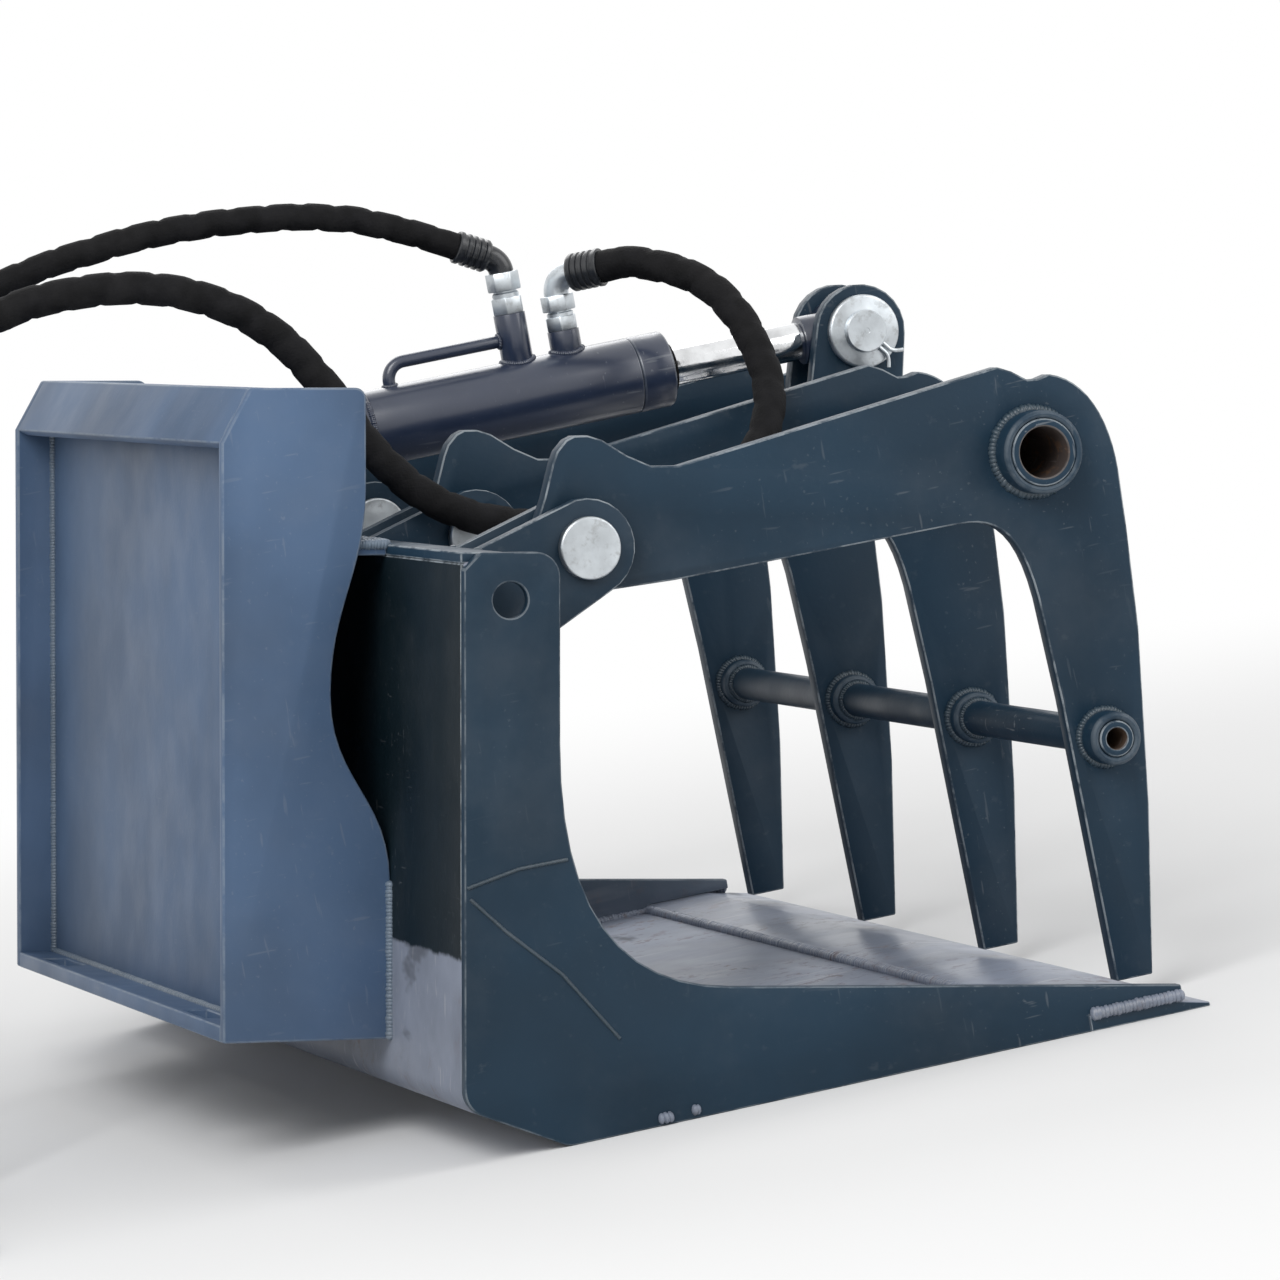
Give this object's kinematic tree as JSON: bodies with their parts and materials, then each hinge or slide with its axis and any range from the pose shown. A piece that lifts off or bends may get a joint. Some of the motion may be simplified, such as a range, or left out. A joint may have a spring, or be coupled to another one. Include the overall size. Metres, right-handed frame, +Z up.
{
  "type": "grapple bucket",
  "caption": "Steel bucket with a row of hinged grapple tines over it, worked by one hydraulic cylinder, with a quick-attach plate on its back and two hoses.",
  "frame": {"origin": "centre of the bounding box's bottom, with the bucket's floor flat on z = 0; the hoses and their couplers are left out of it", "axes": "+X forward out of the bucket's mouth, +Z up, +Y to the bucket's left side, across its width"},
  "size_m": [0.985, 1.06, 0.686],
  "materials": {
    "dark_paint": "satin",
    "light_paint": "satin",
    "worn_paint": "satin",
    "edge_steel": "satin",
    "barrel_paint": "gloss",
    "zinc": "satin",
    "chrome_rod": "polished",
    "black_steel": "gloss",
    "rubber": "matte"
  },
  "bodies": {
    "bucket": {"bucket_shell": "worn_paint", "cutting_edge": "edge_steel", "side_plate_right": "dark_paint", "side_plate_left": "dark_paint", "back_top_rail": "dark_paint", "coupler_face": "light_paint", "coupler_top_lip": "light_paint", "coupler_bottom_ledge": "light_paint", "coupler_gusset_right": "light_paint", "coupler_gusset_left": "light_paint", "coupler_ribs": "light_paint", "coupler_shelf": "light_paint", "hinge_lugs_1": "dark_paint", "hinge_lugs_2": "dark_paint", "hinge_lugs_3": "dark_paint", "hinge_lugs_4": "dark_paint", "hinge_pin_1": "zinc", "hinge_pin_2": "zinc", "hinge_pin_3": "zinc", "hinge_pin_4": "zinc", "cylinder_base_lugs": "light_paint", "cylinder_base_pin": "zinc", "hose_1": "rubber", "hose_2": "rubber", "quick_coupler_1": "zinc", "quick_coupler_2": "zinc"},
    "grapple": {"grapple_arm_1": "dark_paint", "grapple_arm_2": "dark_paint", "grapple_arm_3": "dark_paint", "grapple_arm_4": "dark_paint", "arm_bushes": "dark_paint", "upper_cross_pipe": "dark_paint", "lower_cross_pipe": "dark_paint", "upper_collars": "dark_paint", "lower_collars": "dark_paint", "rod_lugs": "dark_paint"},
    "barrel": {"cylinder_barrel": "barrel_paint", "cylinder_base_eye": "barrel_paint", "cylinder_gland": "barrel_paint", "gland_wiper": "rubber", "port_bosses": "barrel_paint", "port_nuts": "zinc", "elbow_1": "black_steel", "elbow_2": "zinc", "hard_line": "barrel_paint"},
    "rod": {"piston": "chrome_rod", "piston_rod": "chrome_rod", "rod_eye": "zinc", "rod_pin": "zinc"}
  },
  "joints": [
    {"name": "grapple_hinge", "type": "hinge", "parent": "bucket", "child": "grapple", "pos_m": [-0.06067, 0, 0.41138], "axis": [0, -1, 0], "range_deg": [0, 55]},
    {"name": "barrel_swing", "type": "hinge", "parent": "bucket", "child": "barrel", "pos_m": [-0.12614, 0, 0.49502], "axis": [0, -1, 0], "range_deg": [0, 51.5], "deforming": ["hose_1", "hose_2"]},
    {"name": "cylinder_stroke", "type": "slide", "parent": "barrel", "child": "rod", "axis": [0.9999, 0, 0.0168], "range_m": [-0.0965, 0]}
  ],
  "couplings": [
    {"joint": "barrel_swing", "follows": "grapple_hinge", "ratio": 0.93},
    {"joint": "cylinder_stroke", "follows": "grapple_hinge", "m_per_rad": -0.0995}
  ]
}
